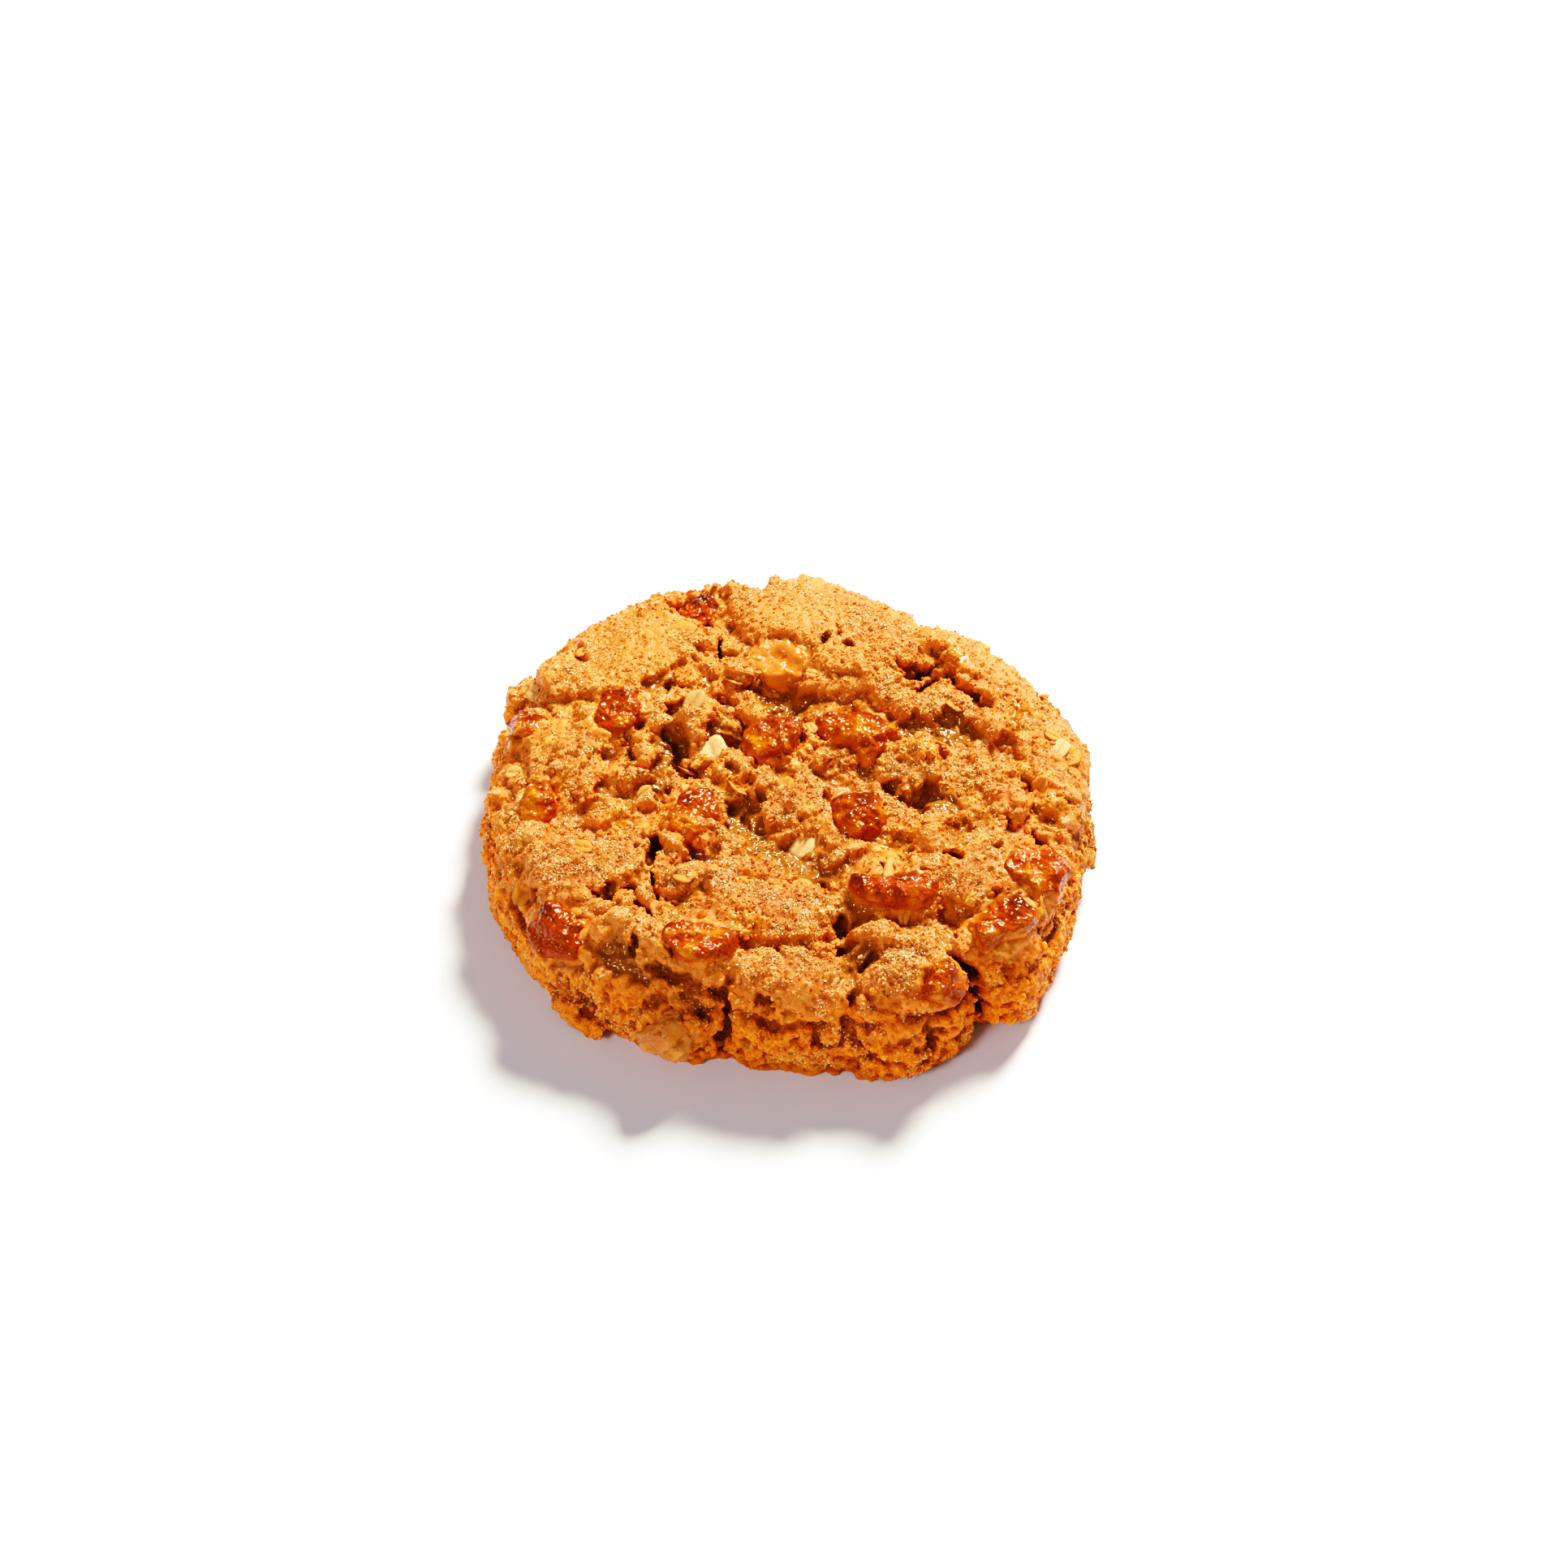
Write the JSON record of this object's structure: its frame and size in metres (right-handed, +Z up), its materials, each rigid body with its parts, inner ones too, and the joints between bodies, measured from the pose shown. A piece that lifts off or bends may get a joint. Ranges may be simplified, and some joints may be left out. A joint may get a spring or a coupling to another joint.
{
  "type": "apple oat cookie",
  "caption": "Thick round baked cookie with a craggy golden top, cracked side and flat base, diced baked apple set into the dough and rolled oat flakes on it.",
  "frame": {"origin": "middle of the flat base, on the surface that the cookie lies on", "axes": "+Z up through the thickness, -Y towards the edge nearest the viewer, +X to the viewer's right"},
  "size_m": [0.0978, 0.0952, 0.0222],
  "materials": {
    "dough": "baked, grainy, slightly glossy",
    "apple": "baked fruit, sticky gloss"
  },
  "bodies": {
    "root": {"dough": "dough", "apple_01": "apple", "apple_02": "apple", "apple_03": "apple", "apple_04": "apple", "apple_05": "apple", "apple_06": "apple", "apple_07": "apple", "apple_08": "apple", "apple_09": "apple", "apple_10": "apple", "apple_11": "apple", "apple_12": "apple", "apple_13": "apple", "apple_14": "apple", "apple_15": "apple", "apple_16": "apple", "apple_17": "apple", "apple_18": "apple", "apple_19": "apple"}
  },
  "joints": []
}
